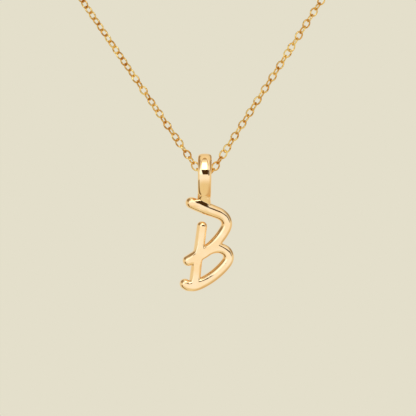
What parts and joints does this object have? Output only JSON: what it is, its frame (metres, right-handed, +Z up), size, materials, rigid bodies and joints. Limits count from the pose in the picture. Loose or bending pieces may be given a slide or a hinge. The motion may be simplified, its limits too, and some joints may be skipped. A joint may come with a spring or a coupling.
{
  "type": "initial pendant on a cable chain",
  "caption": "Cast letter pendant with an oval bail, hanging free on a fine cable chain that closes behind the neck with a barrel clasp.",
  "frame": {"origin": "middle of the wearer's neck, level with the back of the chain", "axes": "+Z up along the neck, -Y towards the front, where the letter hangs and faces, +X to the right seen from the front"},
  "size_m": [0.1152, 0.1175, 0.0996],
  "materials": {
    "pendant_gold": "polished gold plate",
    "chain_gold": "polished gold plate on fine wire",
    "clasp_gold": "polished gold plate"
  },
  "bodies": {
    "necklace": {"neck_chain": "chain_gold", "clasp": "clasp_gold"},
    "pendant": {"initial_pendant": "pendant_gold"}
  },
  "joints": [
    {"name": "pendant_swing", "type": "hinge", "parent": "necklace", "child": "pendant", "pos_m": [-0.00012, -0.057, -0.07938], "axis": [1, 0, 0], "range_deg": [-90, 90]}
  ]
}
